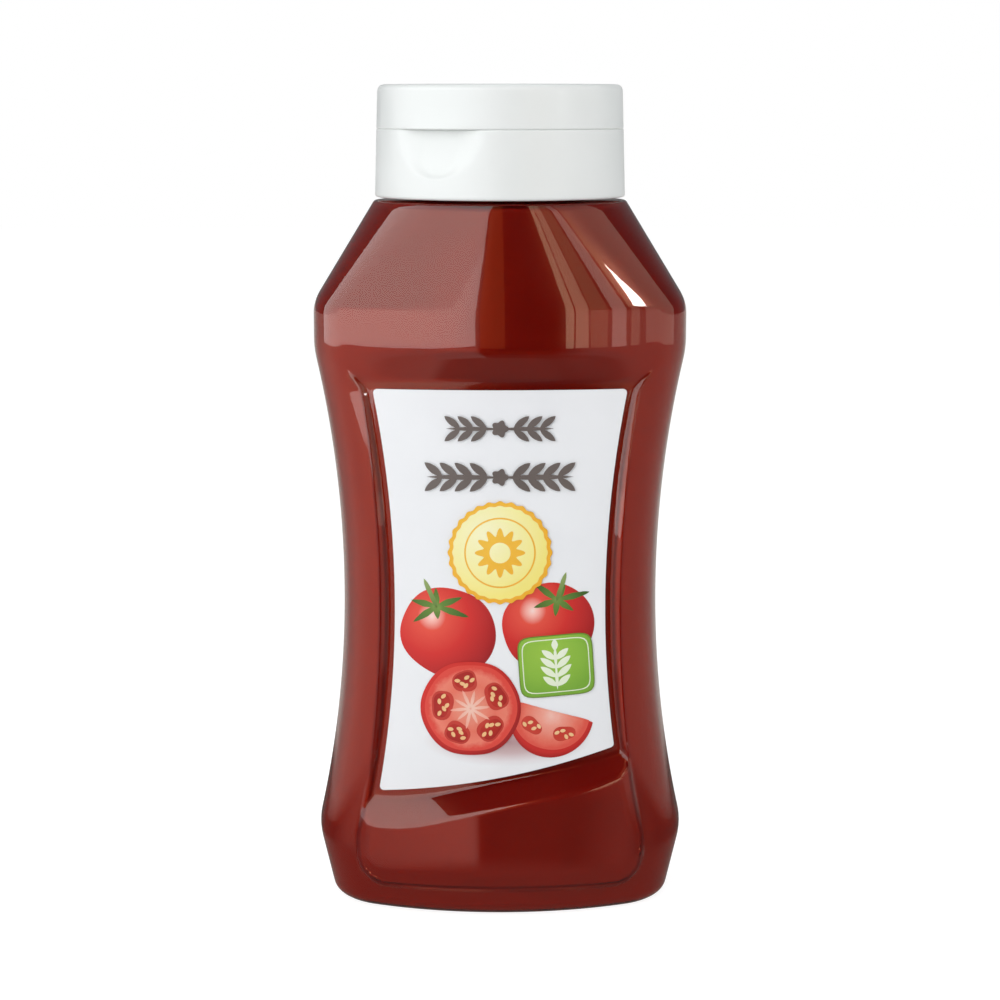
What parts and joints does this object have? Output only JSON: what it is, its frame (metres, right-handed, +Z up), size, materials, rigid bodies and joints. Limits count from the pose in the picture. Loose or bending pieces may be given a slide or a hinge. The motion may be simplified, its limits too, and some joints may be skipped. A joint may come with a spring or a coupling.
{
  "type": "ketchup bottle",
  "caption": "Clear squeeze bottle of ketchup with a waist, a sunk label panel on the front and back, and a shut white flip-top cap.",
  "frame": {"origin": "centre of the base, on the surface that the bottle stands on", "axes": "+Z up along the bottle, front label towards -Y, width along X"},
  "size_m": [0.0848, 0.057, 0.186],
  "materials": {
    "clear_wall": "clear glossy moulded plastic",
    "ketchup": "smooth thick tomato sauce",
    "cap_plastic": "white moulded plastic, fine satin",
    "label_paper": "coated paper, printed"
  },
  "bodies": {
    "root": {"bottle": "clear_wall", "ketchup": "ketchup", "cap_base": "cap_plastic", "cap_lid": "cap_plastic", "label_front": "label_paper", "label_back": "label_paper"}
  },
  "joints": []
}
